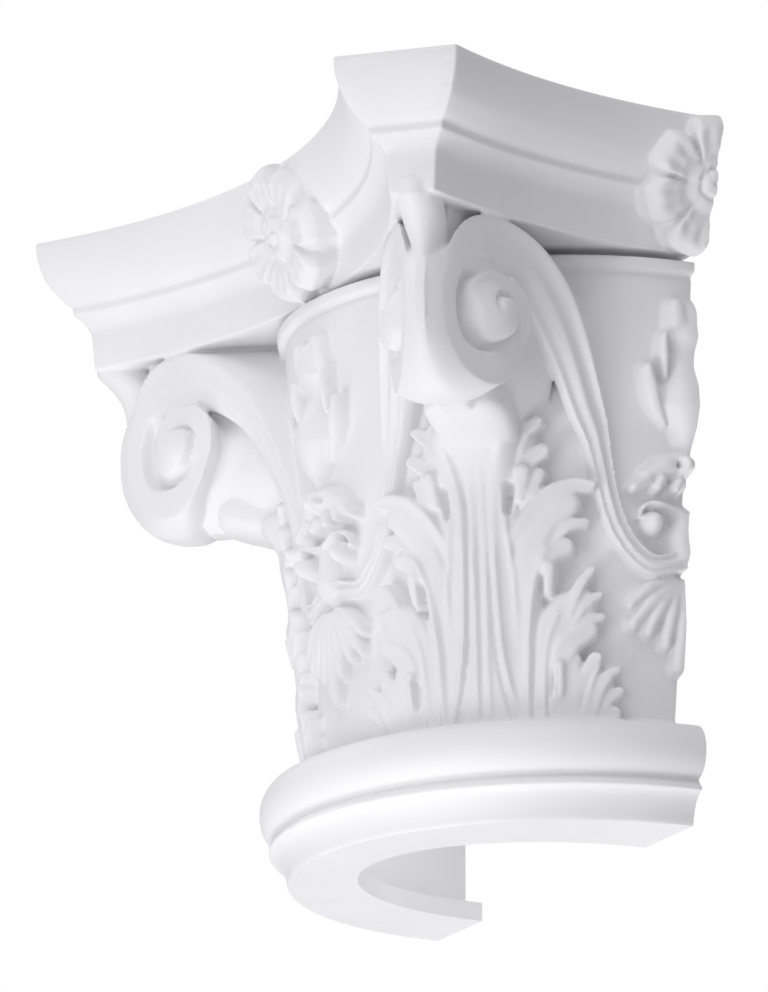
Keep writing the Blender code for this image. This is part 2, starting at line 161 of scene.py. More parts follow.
def loft(name, sections):
    """A closed body through rings of equally many points, with its faces turned outwards."""
    points = np.array(sections, dtype=float)
    index = np.arange(points.shape[0] * points.shape[1]).reshape(points.shape[:2])
    following = np.roll(index, -1, axis=1)
    quads = np.stack((index[:-1], following[:-1], following[1:], index[1:]), -1).reshape(-1, 4)
    spots = points.reshape(-1, 3)
    a, b, c, d = (spots[quads[:, i]] - spots[0] for i in range(4))
    volume = (a * (np.cross(b, c) + np.cross(c, d))).sum()
    for ring, sense in ((index[0], -1), (index[-1], 1)):
        fan = spots[ring] - spots[0]
        volume += sense * (fan[0] * np.cross(fan[1:-1], fan[2:])).sum()
    if not np.isfinite(spots).all() or abs(volume) < 1e-9:
        raise RuntimeError(f"{name} has no volume")
    faces = [face.tolist() for face in quads]
    faces += [index[0][::-1].tolist(), index[-1].tolist()]
    if volume < 0:
        faces = [face[::-1] for face in faces]
    mesh = bpy.data.meshes.new(name)
    mesh.from_pydata(spots.tolist(), [], faces)
    mesh.update()
    obj = bpy.data.objects.new(name, mesh)
    bpy.context.scene.collection.objects.link(obj)
    return obj


def mirrored(obj, name, matrix):
    """A copy with its own mesh, reflected by the matrix."""
    mesh = obj.data.copy()
    mesh.transform(matrix)
    mesh.flip_normals()
    copy = bpy.data.objects.new(name, mesh)
    bpy.context.scene.collection.objects.link(copy)
    return copy


def smooth_line(points, count=12):
    """Points on a smooth line through the given ones, of any dimension."""
    points = [np.array(point, float) for point in points]
    points = [2 * points[0] - points[1]] + points + [2 * points[-1] - points[-2]]
    line = []
    for a, b, c, d in zip(points, points[1:], points[2:], points[3:]):
        for t in np.arange(count) / count:
            line.append(0.5 * (2 * b + (c - a) * t + (2 * a - 5 * b + 4 * c - d) * t**2
                               + (3 * b - a - 3 * c + d) * t**3))
    line.append(points[-2])
    return np.array(line)


def bump(distance, width):
    """1 on a line, falling smoothly to 0 at the width."""
    return (1 - np.clip(distance / width, 0, 1) ** 2) ** 2


def step_up(value, low, high):
    """0 below low, 1 above high, smooth between."""
    t = np.clip((value - low) / (high - low), 0, 1)
    return t * t * (3 - 2 * t)


# ---------------------------------------------------------------- carving


class Carving:
    """Relief on the unrolled bell: places in modules, heights above the bell's surface."""

    def __init__(self, angle, height):
        self.x = angle * DEGREE
        self.y = height
        self.lift = np.zeros(angle.shape)

    def near(self, points, reach):
        """Places near a line: their index, distance, share of the way and side of it."""
        line = smooth_line([(a * DEGREE, z) for a, z in points])
        low, high = line.min(0) - reach, line.max(0) + reach
        index = np.nonzero((self.x > low[0]) & (self.x < high[0])
                           & (self.y > low[1]) & (self.y < high[1]))[0]
        x, y = self.x[index], self.y[index]
        best = np.full(x.shape, 9.0)
        share = np.zeros(x.shape)
        side = np.zeros(x.shape)
        runs = np.diff(line, axis=0)
        lengths = np.concatenate(([0], np.cumsum(np.hypot(runs[:, 0], runs[:, 1]))))
        for (px, py), (dx, dy), start, end in zip(line[:-1], runs, lengths, lengths[1:]):
            length = max(end - start, 1e-9)
            t = np.clip(((x - px) * dx + (y - py) * dy) / length**2, 0, 1)
            ox, oy = x - px - t * dx, y - py - t * dy
            distance = np.hypot(ox, oy)
            nearer = distance < best
            best[nearer] = distance[nearer]
            share[nearer] = ((start + t * (end - start)) / lengths[-1])[nearer]
            side[nearer] = (np.sign(dx * oy - dy * ox))[nearer]
        return index, best, share, side

    def leaf(self, points, widths, lifts, cup=0.0, lean=0.0, edge=5.0):
        """A leaflet along a line. Widths and lifts run from its root to its tip; cup hollows
        its middle, and lean raises one edge above the other."""
        index, distance, share, side = self.near(points, max(widths))
        width = np.interp(share, np.linspace(0, 1, len(widths)), widths)
        lift = np.interp(share, np.linspace(0, 1, len(lifts)), lifts)
        u = np.clip(distance / width, 0, 1)
        height = lift * (1 - u**edge) * (1 - cup * (1 - u**2)) * (1 + lean * side * u)
        self.lift[index] = np.maximum(self.lift[index], height)

    def ridge(self, points, width, heights):
        """A thin raised line, or a sunk one where the height is negative."""
        index, distance, share, _ = self.near(points, width)
        height = np.interp(share, np.linspace(0, 1, len(heights)), heights)
        self.lift[index] += height * bump(distance, width)


LOBE_BODIES = (
    (((45, 0.34), (45, 0.9), (45, 1.15), (45, 1.42)), (0.10, 0.11, 0.128, 0.16),
     (0.050, 0.055, 0.060, 0.065)),
    (((40, 0.34), (40.5, 0.9), (38.8, 1.2), (36.4, 1.35)), (0.10, 0.09, 0.075, 0.070),
     (0.050, 0.055, 0.075, 0.082)),
    (((36, 0.34), (35.5, 0.85), (31, 1.06), (26, 1.13)), (0.09, 0.08, 0.07, 0.050),
     (0.050, 0.055, 0.075, 0.085)),
    (((33, 0.34), (31, 0.62), (27, 0.75), (23.5, 0.78)), (0.08, 0.08, 0.085, 0.070),
     (0.050, 0.055, 0.066, 0.066)),
    (((27, 0.34), (24, 0.44), (19.5, 0.49)), (0.07, 0.09, 0.070), (0.045, 0.055, 0.058)),
)

LEAFLETS = (
    # upper lobe: points, half widths, lifts, cup, lean
    (((40.4, 1.25), (39.0, 1.38), (36.0, 1.425)), (0.03, 0.045, 0.026), (0.05, 0.075, 0.09),
     0.1, 0.0),
    (((38.6, 1.08), (38.2, 1.26), (35.8, 1.372), (32.4, 1.418)), (0.03, 0.052, 0.055, 0.026),
     (0.05, 0.075, 0.10, 0.10), 0.25, 0.1),
    (((37.2, 1.17), (34.8, 1.275), (31.4, 1.318)), (0.02, 0.045, 0.034), (0.06, 0.095, 0.10), 0.2, 0.1),
    (((35.6, 1.08), (33.4, 1.19), (32.0, 1.235)), (0.02, 0.038, 0.030), (0.05, 0.09, 0.085), 0.1, 0.0),
    (((35.2, 1.245), (36.0, 1.155)), (0.036, 0.026), (0.100, 0.085), -0.1, 0.0),
    # second lobe
    (((39.2, 0.80), (35.7, 1.00), (30.8, 1.132), (25.6, 1.188), (21.6, 1.192)),
     (0.040, 0.062, 0.060, 0.050, 0.024), (0.05, 0.075, 0.10, 0.11, 0.10), 0.35, -0.1),
    (((33.6, 0.93), (30.0, 1.01), (26.3, 1.055), (22.6, 1.068)), (0.020, 0.036, 0.032, 0.018),
     (0.05, 0.075, 0.085, 0.085), 0.25, 0.1),
    (((33.8, 0.76), (32.2, 0.87), (29.8, 0.95), (26.6, 0.98)), (0.015, 0.036, 0.045, 0.036),
     (0.05, 0.075, 0.095, 0.085), 0.15, 0.0),
    (((30.2, 0.905), (30.3, 0.825)), (0.031, 0.024), (0.095, 0.08), -0.1, 0.0),
    # third lobe
    (((28.5, 0.66), (26.4, 0.75), (23.8, 0.845), (21.4, 0.898)), (0.020, 0.028, 0.027, 0.022),
     (0.05, 0.075, 0.085, 0.08), 0.2, 0.1),
    (((28.6, 0.62), (26.6, 0.695), (23.2, 0.772), (19.6, 0.813)), (0.020, 0.030, 0.029, 0.019),
     (0.05, 0.072, 0.08, 0.075), 0.2, 0.1),
    (((28.9, 0.56), (27.0, 0.64), (23.6, 0.705), (19.2, 0.735)), (0.020, 0.032, 0.032, 0.022),
     (0.05, 0.07, 0.078, 0.072), 0.2, 0.1),
    (((29.3, 0.44), (28.4, 0.55), (26.0, 0.635), (21.6, 0.685)), (0.020, 0.040, 0.052, 0.038),
     (0.05, 0.075, 0.09, 0.085), 0.25, 0.0),
    (((28.1, 0.56), (27.9, 0.465)), (0.026, 0.020), (0.085, 0.075), -0.1, 0.0),
    # lowest lobe
    (((25.6, 0.36), (25.4, 0.50), (24.8, 0.582)), (0.030, 0.036, 0.030), (0.045, 0.07, 0.075),
     0.2, 0.0),
    (((24.0, 0.36), (22.6, 0.495), (20.4, 0.585)), (0.030, 0.044, 0.034), (0.045, 0.075, 0.085),
     0.25, 0.1),
    (((21.9, 0.36), (19.9, 0.475), (17.2, 0.535), (15.4, 0.553)), (0.030, 0.036, 0.032, 0.019),
     (0.045, 0.07, 0.078, 0.07), 0.2, 0.1),
    (((20.8, 0.36), (18.1, 0.44), (14.9, 0.476)), (0.025, 0.034, 0.024), (0.04, 0.065, 0.068), 0.2, 0.1),
    (((18.6, 0.35), (15.9, 0.40)), (0.028, 0.034), (0.04, 0.062), 0.1, 0.0),
)

# Thin raised lines on the leaf: points, half width, heights from one end to the other
LEAF_RIDGES = (
    (((43.6, 0.36), (43.8, 0.8), (43.7, 1.30)), 0.015, (0.012, 0.012, 0.0)),
    (((36.6, 0.36), (39.5, 0.54), (40.9, 0.70), (41.5, 0.95), (41.4, 1.2)), 0.017,
     (0.010, 0.014, 0.012, 0.0)),
    (((35.2, 0.36), (35.1, 0.55), (34.6, 0.70), (33.2, 0.86), (30.8, 0.97)), 0.020,
     (0.012, 0.018, 0.008)),
    (((37.0, 0.62), (37.6, 0.85), (38.9, 1.05), (39.5, 1.18)), 0.016, (0.0, 0.010, 0.012, 0.004)),
    (((31.6, 0.36), (31.5, 0.50), (30.8, 0.64), (28.5, 0.74)), 0.015, (0.010, 0.014, 0.006)),
)

# Sunk lines: points, half width, depths
LEAF_GROOVES = (
    (((38.0, 0.36), (41.0, 0.54), (42.1, 0.70), (42.7, 0.95), (43.0, 1.27)), 0.014,
     (0.024, 0.026, 0.016, 0.0)),
    (((33.9, 0.38), (33.6, 0.55), (32.8, 0.69), (31.4, 0.79)), 0.014, (0.018, 0.022, 0.012)),
    (((30.4, 0.38), (30.4, 0.46), (29.9, 0.60)), 0.011, (0.014, 0.016, 0.006)),
    (((37.3, 0.40), (37.2, 0.72), (38.6, 0.98)), 0.060, (0.010, 0.018, 0.008)),
    (((45, 0.36), (45, 0.8), (45, 1.30)), 0.016, (0.008, 0.010, 0.0)),
    (((32.2, 0.42), (31.9, 0.62), (30.6, 0.74)), 0.030, (0.006, 0.012, 0.004)),
    (((23.6, 0.40), (22.0, 0.50), (19.4, 0.57), (16.4, 0.595)), 0.010, (0.010, 0.012, 0.010)),
)

# Deep eyes where one lobe folds over the next: points, half width, depth
LEAF_EYES = (
    (((38.0, 1.20), (38.3, 1.16), (38.6, 1.11)), 0.020, (0.05, 0.065, 0.03)),
    (((31.9, 0.875), (32.0, 0.84), (32.3, 0.79)), 0.015, (0.045, 0.055, 0.02)),
    (((29.1, 0.545), (29.2, 0.51), (29.4, 0.46)), 0.013, (0.04, 0.045, 0.02)),
    (((26.0, 0.90), (26.3, 0.85)), 0.018, (0.05, 0.03)),
)

# Ornament over the middle of a side, and the palmette under the bands
BLOSSOM = (
    (((0, 1.345), (0, 1.40), (0, 1.50), (0, 1.58), (0, 1.64)), (0.035, 0.085, 0.130, 0.122, 0.095),
     (0.045, 0.085, 0.100, 0.085, 0.045), -0.1, 0.0),
    (((0, 1.69), (0, 1.75), (0, 1.795)), (0.088, 0.112, 0.098), (0.045, 0.070, 0.055), -0.1, 0.0),
    (((2.2, 1.74), (3.4, 1.80), (3.9, 1.850)), (0.060, 0.056, 0.042), (0.045, 0.064, 0.058), 0.0, 0.0),
    (((5.6, 1.43), (8.0, 1.50), (9.5, 1.58), (10.0, 1.625)), (0.012, 0.030, 0.036, 0.026),
     (0.05, 0.07, 0.085, 0.08), 0.2, 0.2),
    (((6.0, 1.60), (6.6, 1.69), (6.5, 1.745)), (0.016, 0.028, 0.020), (0.06, 0.08, 0.07), 0.1, 0.0),
    (((0, 1.30), (5, 1.285), (9.5, 1.25)), (0.048, 0.050, 0.032), (0.06, 0.07, 0.055), 0.0, 0.0),
    (((9, 1.235), (12.4, 1.200)), (0.030, 0.020), (0.06, 0.07), 0.0, 0.0),
    (((6, 1.235), (7.0, 1.205)), (0.030, 0.020), (0.06, 0.07), 0.0, 0.0),
    (((2, 1.23), (3.0, 1.20)), (0.034, 0.024), (0.06, 0.07), 0.0, 0.0),
    (((1.3, 1.285), (1.5, 1.295)), (0.042, 0.042), (0.10, 0.10), 0.0, 0.0),
    (((8.0, 1.075), (8.0, 1.08)), (0.048, 0.048), (0.095, 0.095), -0.1, 0.0),
    (((11.0, 1.095), (10.0, 1.135), (7.6, 1.148), (3.5, 1.13), (0, 1.12)),
     (0.009, 0.013, 0.016, 0.020, 0.024), (0.045, 0.065, 0.075, 0.07, 0.06), 0.0, 0.0),
    (((0, 1.08), (0, 1.10)), (0.060, 0.060), (0.055, 0.055), 0.0, 0.0),
    (((0, 0.99), (0, 1.03)), (0.078, 0.074), (0.075, 0.06), 0.0, 0.0),
)
PALMETTE = (
    (((0, 0.88), (0, 0.75), (0.6, 0.58)), (0.024, 0.036, 0.034), (0.05, 0.075, 0.065), 0.16, 0.0),
    (((1, 0.88), (2.8, 0.76), (4.0, 0.655)), (0.020, 0.034, 0.026), (0.05, 0.07, 0.065), 0.16, 0.0),
    (((1.6, 0.88), (5.2, 0.79), (8.0, 0.700)), (0.020, 0.034, 0.026), (0.05, 0.07, 0.065), 0.16, 0.0),
    (((2, 0.885), (7.5, 0.80), (11.6, 0.722)), (0.020, 0.036, 0.028), (0.05, 0.07, 0.065), 0.16, 0.0),
    (((2.6, 0.89), (8.0, 0.85), (12.6, 0.785)), (0.020, 0.034, 0.024), (0.05, 0.07, 0.07), 0.16, 0.0),
)


def tip_reach(x, y):
    """How far the leaf's middle leans out under the scroll."""
    heights = (0.98, 1.08, 1.16, 1.22, 1.27, 1.31, 1.34, 1.37, 1.40, 1.46)
    reach = (0.0, 0.005, 0.015, 0.029, 0.047, 0.070, 0.096, 0.120, 0.120, 0.0)
    wide = np.interp(y, (1.0, 1.2, 1.34), (0.112, 0.128, 0.152))
    share = 1 - np.clip(np.abs(45 * DEGREE - x) / wide, 0, 1) ** 4
    return np.interp(y, heights, reach) * share


def relief(angle, height):
    """Height of the carving above the bell, in modules, for flat arrays of places."""
    carving = Carving(angle, height)
    for points, widths, lifts in LOBE_BODIES:
        carving.leaf(points, widths, lifts, edge=6.0)
    for points, widths, lifts, cup, lean in LEAFLETS:
        carving.leaf(points, widths, lifts, 0.6 * cup, lean, edge=7.0)
    for points, width, depths in LEAF_GROOVES:
        carving.ridge(points, width, [-0.75 * depth for depth in depths])
    for points, width, heights in LEAF_RIDGES:
        carving.ridge(points, width, heights)
    for points, width, depths in LEAF_EYES:
        carving.ridge(points, width, [-depth for depth in depths])
    carving.lift = np.maximum(carving.lift, 0) + tip_reach(carving.x, carving.y)
    for points, widths, lifts, cup, lean in BLOSSOM + PALMETTE:
        carving.leaf(points, widths, lifts, cup, lean, edge=2.6)
    carving.ridge(((2.5, 1.285), (2.7, 1.292)), 0.016, (-0.06, -0.06))
    return carving.lift


# ---------------------------------------------------------------- ring and bell


def bell_radius(height):
    """Plain surface of the bell, with the small lip under the abacus."""
    heights = (RING_TOP, 0.50, 0.90, 1.35, 1.70, 1.955, 1.976, 1.983, 2.019, 2.027, 2.036, BELL_TOP)
    radii = (0.871, 0.885, 0.915, 0.955, 0.990, 1.017, 1.009, 1.043, 1.048, 1.020, 0.950, 0.950)
    return np.interp(height, heights, radii)


def ring_profile():
    """Outer line of the ring from below: a hollow, a fillet, a groove, a round and a slope."""
    hollow = [(1.004 + 0.066 * (1 - math.cos(t)) ** 0.8, 0.004 + 0.108 * math.sin(t))
              for t in np.linspace(0, math.pi / 2, 12)]
    fillet = [(1.073, 0.118), (1.071, 0.124), (1.046, 0.149), (1.042, 0.156), (1.050, 0.163)]
    round_ = [(1.030 + 0.076 * math.sin(t), 0.252 - 0.098 * math.cos(t))
              for t in np.linspace(0.35, math.pi * 0.93, 28)]
    slope = [(0.965, 0.367), (0.93, 0.377), (0.895, 0.387), (0.871, 0.398)]
    return [(0.996, 0.0)] + hollow + fillet + round_ + slope


class CAPITAL_OT_bell(bpy.types.Operator):
    """Turn the ring and the bell, and carve the leaves and the ornament into the bell"""

    bl_idname = "capital.bell"
    bl_label = "Ring and carved bell"

    def execute(self, context):
        self.ring()
        self.bell(context.scene.capital.grain * 0.9 / MODULE)
        return {"FINISHED"}

    @staticmethod
    def ring():
        """Spin the ring's section half round the axis, close its ends and flatten it a little."""
        section = [(CORE, -TRIM), (0.994, -TRIM)] + ring_profile()
        section += [(0.86, RING_TOP), (CORE, RING_TOP)]
        mesh = bpy.data.meshes.new("ring")
        first = [at(radius * math.cos(SPARE), radius * math.sin(SPARE), height)
                 for radius, height in section]
        mesh.from_pydata(first, [(i, (i + 1) % len(first)) for i in range(len(first))], [])
        ring = bpy.data.objects.new("ring", mesh)
        bpy.context.scene.collection.objects.link(ring)
        activate(ring)
        bpy.ops.object.mode_set(mode="EDIT")
        bpy.ops.mesh.select_all(action="SELECT")
        bpy.ops.mesh.spin(steps=RING_STEPS, angle=math.pi + 2 * SPARE, center=at(0, 0, 0),
                          axis=(0, 0, 1))
        bpy.ops.mesh.select_all(action="SELECT")
        bpy.ops.mesh.fill_holes(sides=0)
        bpy.ops.mesh.normals_make_consistent(inside=False)
        bpy.ops.transform.resize(value=(1, ROUND_DEPTH, 1), center_override=at(0, 0, 0))
        bpy.ops.object.mode_set(mode="OBJECT")
        if len(mesh.polygons) < RING_STEPS * len(section):
            raise RuntimeError("the ring was not spun")

    @staticmethod
    def bell(grain):
        """Turn the bell with the relief in its surface, finer than edit tools could carve it."""
        heights = np.arange(BELL_FOOT, BELL_TOP, grain)
        profile = [(CORE, BELL_FOOT)] + list(zip(bell_radius(heights), heights))
        profile.append((CORE, BELL_TOP))
        radius, height = np.array(profile).T
        around = np.arange(-SPARE, math.pi + SPARE, grain)[:, None]
        out, tall = radius + 0 * around, height + 0 * around
        from_side = np.abs((np.degrees(around) + 45) % 90 - 45) + 0 * radius
        carved = (out > INSIDE) & (tall < CARVING_TOP)
        out[carved] += relief(from_side[carved], tall[carved])
        x, y = out * np.cos(around), -out * np.sin(around) * ROUND_DEPTH
        loft("bell", np.stack((x, y, tall), -1) * MODULE + np.array(at(0, 0, 0)))


# ---------------------------------------------------------------- abacus


def abacus_outline(inset, steps):
    """The abacus from above, drawn in from its edge: four hollow sides and blunt horns."""
    radius = SIDE_RADIUS + inset
    corner = CORNER_SUM - inset * math.sqrt(2)
    lean = (corner - SIDE_DISTANCE - SIDE_RADIUS) / radius
    limit = math.pi / 4 + math.asin(lean / math.sqrt(2))
    points = []
    for side in range(4):
        turn = Matrix.Rotation(side * math.pi / 2, 2)
        for t in limit * np.linspace(-1, 1, steps + 1):
            across = SIDE_DISTANCE + SIDE_RADIUS - radius * math.cos(t)
            points.append(turn @ Vector((across, radius * math.sin(t))))
    return points


def abacus_profile():
    """(inset, height) from the soffit up: fascia, hollow, fillet, round and top edge."""
    fascia = [(0.184, SOFFIT), (0.181, SOFFIT + 0.004), (0.177, 2.10), (0.172, 2.160)]
    hollow = smooth_line(((0.171, 2.175), (0.166, 2.194), (0.155, 2.213), (0.139, 2.232),
                          (0.122, 2.247)), 4)
    fillet = [(0.117, 2.249), (0.115, 2.253), (0.1145, 2.276), (0.112, 2.280)]
    round_ = smooth_line(((0.106, 2.283), (0.084, 2.300), (0.060, 2.327), (0.037, 2.360),
                          (0.0166, 2.408), (0.005, 2.450), (0.0, 2.490)), 5)
    rows = fascia + hollow.tolist() + fillet + round_.tolist()
    return rows + [(0.0, HEIGHT - 0.004), (0.004, HEIGHT), (0.008, HEIGHT + TRIM)]


class CAPITAL_OT_abacus(bpy.types.Operator):
    """Build the hollow-sided abacus with its mouldings"""

    bl_idname = "capital.abacus"
    bl_label = "Abacus"

    def execute(self, context):
        loft("abacus", [[at(point.x, point.y + ABACUS_BACK, height)
                         for point in abacus_outline(inset, 80)]
                        for inset, height in abacus_profile()])
        return {"FINISHED"}


# ---------------------------------------------------------------- scrolls and their bands

SIN_45 = math.sqrt(0.5)
ACROSS = Vector((SIN_45, SIN_45, 0))  # across the right horn, towards its outer face
SCROLL_MIDDLE = Vector((SCROLL_OUT * SIN_45, -SCROLL_OUT * SIN_45, SCROLL_HEIGHT))
SCROLL_MIDDLE += Vector((ABACUS_BACK / 2, ABACUS_BACK / 2, 0))
FACE_ORIGIN = SCROLL_MIDDLE + ACROSS * HALF_THICK
FACE_NORMAL = Vector((math.cos(FACE_TURN), math.sin(FACE_TURN), 0))
FACE_RIGHT = Vector((-math.sin(FACE_TURN), math.cos(FACE_TURN), 0))


def on_face(u, v, h):
    """A place on the scroll's outer face: towards the side's middle, up, and out of it."""
    return FACE_ORIGIN + FACE_RIGHT * u + Vector((0, 0, v)) + FACE_NORMAL * h


# Outline of the scroll's face round the coil's centre: (direction in degrees, distance)
FACE_OUTLINE = (
    (-180, 0.238), (-146, 0.246), (-121, 0.256), (-99, 0.252), (-85, 0.246), (-69, 0.218),
    (-60, 0.200), (-27, 0.172), (0, 0.182), (29, 0.190), (52, 0.182), (82, 0.190),
    (110, 0.230), (136, 0.262), (155, 0.252), (180, 0.238),
)
# Groove that winds into the coil: (direction in degrees, distance, half width, depth)
COIL_GROOVE = (
    (60, 0.196, 0.030, 0.060), (93, 0.178, 0.028, 0.050), (133, 0.163, 0.034, 0.044),
    (180, 0.130, 0.050, 0.050), (221, 0.138, 0.046, 0.046), (245, 0.128, 0.034, 0.040),
    (281, 0.104, 0.024, 0.034), (336, 0.092, 0.018, 0.030), (368, 0.098, 0.017, 0.030),
    (391, 0.098, 0.017, 0.030), (412, 0.090, 0.018, 0.028), (450, 0.068, 0.020, 0.026),
    (500, 0.040, 0.020, 0.016), (540, 0.020, 0.015, 0.0),
)
# Pointed drop between horn and scroll, from its tip up: (height, front, half width, half depth)
DROP = (
    (1.72, 1.655, 0.008, 0.04), (1.78, 1.664, 0.026, 0.07), (1.84, 1.672, 0.044, 0.09),
    (1.90, 1.682, 0.058, 0.10), (1.94, 1.700, 0.067, 0.10), (1.98, 1.728, 0.074, 0.10),
    (2.02, 1.768, 0.078, 0.10), (2.045, 1.790, 0.079, 0.10), (2.10, 1.790, 0.079, 0.10),
)
# Solid behind a scroll, outwards along the horn: (distance, half width, underside)
NECK = (
    (0.86, 0.15, 1.40), (1.05, 0.14, 1.42), (1.18, 0.13, 1.43), (1.28, 0.115, 1.44),
    (1.36, 0.10, 1.46), (1.40, 0.10, 1.60), (1.48, 0.09, 1.75), (1.57, 0.065, 1.84),
)
# Tip of a leaf, outwards along the horn: (distance, half width, underside, top)
LEAF_TIP = (
    (0.84, 0.105, 1.150, 1.52), (0.93, 0.118, 1.225, 1.52), (0.99, 0.130, 1.272, 1.52),
    (1.05, 0.142, 1.314, 1.52), (1.11, 0.150, 1.345, 1.52), (1.17, 0.153, 1.366, 1.52),
    (1.22, 0.148, 1.380, 1.52), (1.255, 0.134, 1.391, 1.51), (1.280, 0.110, 1.403, 1.50),
    (1.297, 0.070, 1.419, 1.49), (1.304, 0.025, 1.440, 1.47),
)


def on_horn(side, out, across, height):
    """A place by the horn on one side (1 right, -1 left): out along it and across it."""
    x = (out + across) * SIN_45 + ABACUS_BACK / 2
    y = (across - out) * SIN_45 + ABACUS_BACK / 2
    return at(side * x, y, height)


def coil_height(u, v):
    """Height of the scroll's face: a tilted disc with a groove winding in to a raised eye."""
    du, dv = u - COIL_CENTRE[0], v - COIL_CENTRE[1]
    distance = np.hypot(du, dv)
    turn = np.degrees(np.arctan2(dv, du)) % 360
    height = 0.078 + 0.26 * u
    height += 0.062 * np.clip(1 - (distance / 0.120) ** 2, 0, 1)
    table = np.array(COIL_GROOVE).T
    for lap in (0, 360):
        phase = turn + lap
        inside = (phase > table[0, 0]) & (phase < table[0, -1])
        middle, width, depth = (np.interp(phase, table[0], row) for row in table[1:])
        height -= 1.15 * inside * depth * bump(np.abs(distance - middle), width)
    return height


class CAPITAL_OT_scrolls(bpy.types.Operator):
    """Build the scroll under each horn, with a coil on each of its faces"""

    bl_idname = "capital.scrolls"
    bl_label = "Scrolls"

    def execute(self, context):
        for half in (self.half_scroll(), self.web()):
            other = mirrored(half, half.name + "_front", diagonal_mirror())
            for obj in (half, other):
                mirrored(obj, obj.name + "_left", side_mirror())
        self.drops()
        self.necks()
        self.leaf_tips()
        return {"FINISHED"}

    @staticmethod
    def half_scroll(turns=240):
        """The outer half of one scroll, from the horn's middle plane to its face."""
        turn = np.linspace(0, 2 * math.pi, turns, endpoint=False)
        degrees = (np.degrees(turn) + 180) % 360 - 180
        outline = np.array(FACE_OUTLINE).T
        edge = np.interp(degrees, outline[0], outline[1])
        edge = (np.roll(edge, 3) + 2 * edge + np.roll(edge, -3)) / 4
        bulge = 0.052 * step_up(np.abs(degrees - 10), 45, 95)
        sections = []
        for share in np.linspace(0.02, 1, 60):
            u = COIL_CENTRE[0] + share * edge * np.cos(turn)
            v = COIL_CENTRE[1] + share * edge * np.sin(turn)
            sections.append([at(*on_face(*place)) for place in zip(u, v, coil_height(u, v))])
        top = coil_height(u, v)
        depth = HALF_THICK + u * ACROSS.dot(FACE_RIGHT) + top * ACROSS.dot(FACE_NORMAL) + OVERLAP
        for share in np.linspace(0, 1, 14)[1:]:
            wide = edge + bulge * math.sin(math.pi / 2 * min(share / 0.75, 1))
            u = COIL_CENTRE[0] + wide * np.cos(turn)
            v = COIL_CENTRE[1] + wide * np.sin(turn)
            sections.append([at(*(on_face(*place) - ACROSS * back * share))
                             for *place, back in zip(u, v, top, depth)])
        return loft("scroll", sections)

    @staticmethod
    def web():
        """The floor of the recess between the coil and the stem, back to the bell."""
        sections = []
        for v in np.linspace(0.24, -0.34, 36):
            right = np.interp(v, (-0.34, -0.28, -0.10, 0.05, 0.20, 0.24),
                              (0.44, 0.45, 0.39, 0.28, 0.14, 0.09))
            floor = 0.034 - 0.022 * step_up(v, -0.04, 0.08) - 2.4 * max(0, -0.12 - v) ** 2
            surface = [on_face(u, v, floor - 0.022 * bump(abs(u - 0.13), 0.13))
                       for u in np.linspace(0.0, right, 24)]
            back = [place - ACROSS * ((place - SCROLL_MIDDLE).dot(ACROSS) + OVERLAP)
                    for place in (surface[-1], surface[0])]
            sections.append([at(*place) for place in surface + back])
        return loft("web", sections)

    @staticmethod
    def drops():
        """The pointed drop between each horn and its scroll."""
        turn = np.linspace(0, 2 * math.pi, 48, endpoint=False)
        for side in (1, -1):
            loft("drop", [[on_horn(side, front - deep + deep * math.cos(t), wide * math.sin(t), height)
                           for t in turn] for height, front, wide, deep in DROP])

    @staticmethod
    def necks():
        """The solid behind each scroll, from the bell out along the horn."""
        for side in (1, -1):
            sections = []
            for out, width, low in NECK:
                ring = []
                for turn in np.linspace(0, math.pi, 24):
                    height = low + 0.10 * (1 - math.sin(turn)) ** 1.5
                    ring.append(on_horn(side, out, width * math.cos(turn), height))
                for edge in (-width, width):
                    ring.append(on_horn(side, out, edge, SOFFIT + OVERLAP))
                sections.append(ring)
            loft("neck", sections)

    @staticmethod
    def leaf_tips():
        """The rounded tip of each leaf, curling out under its scroll."""
        turn = np.linspace(0, 2 * math.pi, 48, endpoint=False)
        across, up = (np.sign(f) * np.abs(f) ** 0.65 for f in (np.cos(turn), np.sin(turn)))
        for side in (1, -1):
            loft("leaf_tip", [[on_horn(side, out, c * width, (low + top) / 2 + d * (top - low) / 2)
                               for c, d in zip(across, up)] for out, width, low, top in LEAF_TIP])


def side_mirror():
    """Reflects the right half of the capital into the left half."""
    return Matrix.Scale(-1, 4, (1, 0, 0))


def diagonal_mirror():
    """Reflects across the right horn's middle plane."""
    origin = at(ABACUS_BACK / 2, ABACUS_BACK / 2, 0)
    flip = Matrix.Scale(-1, 4, ACROSS)
    return Matrix.Translation(origin) @ flip @ Matrix.Translation(-origin)


